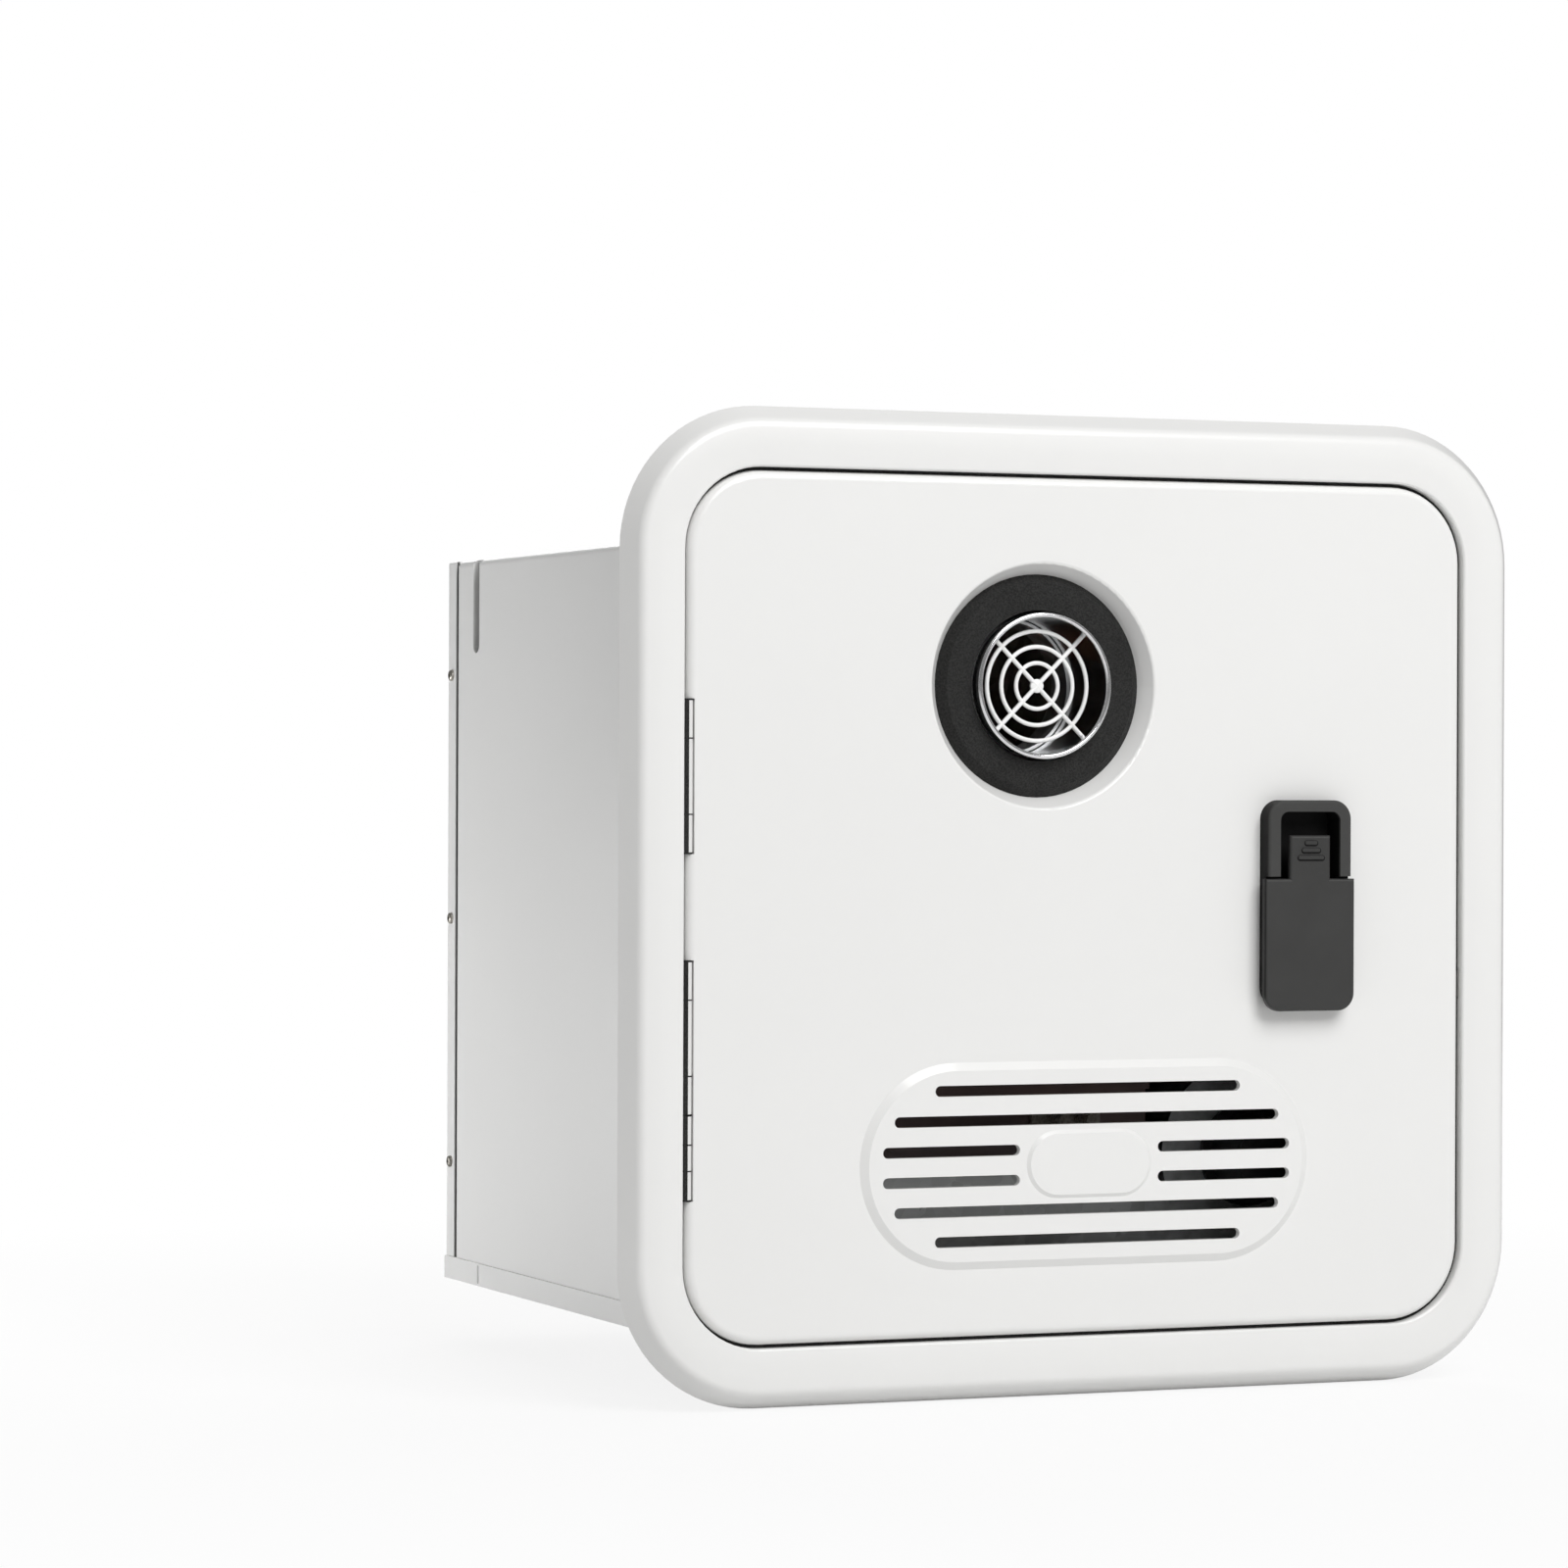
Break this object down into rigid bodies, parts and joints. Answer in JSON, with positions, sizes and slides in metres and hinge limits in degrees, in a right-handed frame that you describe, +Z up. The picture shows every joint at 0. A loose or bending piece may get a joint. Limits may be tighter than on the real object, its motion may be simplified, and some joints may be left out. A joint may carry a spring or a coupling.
{
  "type": "caravan water heater",
  "caption": "Gas water heater for a caravan wall: boxed heater with a flush outside door, round flue outlet, air louvre and a sprung T-lever latch.",
  "frame": {"origin": "centre of the four outer side wall screws, in the plane of the wall's outer face", "axes": "+X to the right as seen from outside the vehicle, +Y inwards through the wall, +Z up"},
  "size_m": [0.381, 0.3406, 0.381],
  "materials": {
    "white_moulding": "gloss",
    "painted_sheet": "satin",
    "label_film": "satin",
    "white_wire": "gloss",
    "bright_chrome": "polished",
    "bright_nickel": "polished",
    "black_rubber": "matte",
    "charcoal_plastic": "satin",
    "black_plastic": "satin",
    "grey_plastic": "satin",
    "zinc_steel": "satin",
    "hinge_steel": "satin",
    "plain_steel": "satin",
    "cast_aluminium": "satin",
    "brass": "satin",
    "copper": "satin",
    "ceramic": "satin"
  },
  "bodies": {
    "cabinet": {"blank_plate": "label_film", "bottom_tray": "painted_sheet", "burner": "plain_steel", "burner_box": "plain_steel", "burner_feed_pipe": "cast_aluminium", "cable_grommet": "black_rubber", "casing_wrapper": "painted_sheet", "cold_water_fitting": "brass", "cold_water_pipe": "copper", "combustion_chamber": "copper", "control_box": "grey_plastic", "control_box_lid": "grey_plastic", "control_socket_insert": "black_plastic", "control_socket_shell": "bright_nickel", "door_frame": "white_moulding", "door_gasket": "black_rubber", "exhaust_grille": "white_wire", "exhaust_tube": "bright_chrome", "fan_bracket": "plain_steel", "fan_housing": "cast_aluminium", "fan_motor": "black_plastic", "flue_hood": "plain_steel", "gas_fitting": "brass", "gas_pipe": "cast_aluminium", "gas_valve": "cast_aluminium", "heat_exchanger": "copper", "hinge_frame_leaves": "hinge_steel", "hinge_pins": "zinc_steel", "hot_water_fitting": "brass", "hot_water_pipe": "copper", "igniter": "ceramic", "overheat_cutout": "zinc_steel", "power_socket_insert": "black_plastic", "power_socket_shell": "bright_nickel", "power_switch": "black_plastic", "rear_cover": "painted_sheet", "support_rails": "plain_steel", "switch_bracket": "plain_steel", "union_nuts": "brass", "valve_bracket": "plain_steel", "wall_plate": "painted_sheet", "water_flow_sensor": "black_plastic"},
    "door": {"door_panel": "white_moulding", "hinge_door_leaves": "hinge_steel", "latch_housing": "charcoal_plastic", "latch_pin": "zinc_steel", "latch_spring": "zinc_steel", "bolt_guides": "zinc_steel", "exhaust_ring": "black_rubber"},
    "latch": {"latch_lever": "charcoal_plastic"},
    "bolt": {"latch_bolt": "zinc_steel"},
    "fan": {"fan_impeller": "plain_steel", "fan_shaft": "zinc_steel"},
    "rocker": {"power_rocker": "grey_plastic"}
  },
  "joints": [
    {"name": "door_swing", "type": "hinge", "parent": "cabinet", "child": "door", "pos_m": [-0.16485, -0.0064, 0], "axis": [0, 0, -1], "range_deg": [0, 93]},
    {"name": "latch_pull", "type": "hinge", "parent": "door", "child": "latch", "pos_m": [0.09445, -0.011, -0.0345], "axis": [1, 0, 0], "range_deg": [0, 35], "stiffness_Nm_per_rad": 0.05},
    {"name": "latch_bolt_slide", "type": "slide", "parent": "door", "child": "bolt", "axis": [-1, 0, 0], "range_m": [0, 0.0047]},
    {"name": "fan_spin", "type": "hinge", "parent": "cabinet", "child": "fan", "pos_m": [0.098, 0.07, -0.102], "axis": [0, 1, 0], "continuous": true},
    {"name": "power_rocker_tip", "type": "hinge", "parent": "cabinet", "child": "rocker", "pos_m": [0.122, 0.028, 0.096], "axis": [1, 0, 0], "range_deg": [-8, 8]}
  ],
  "couplings": [
    {"joint": "latch_bolt_slide", "follows": "latch_pull", "m_per_rad": 0.007694}
  ]
}
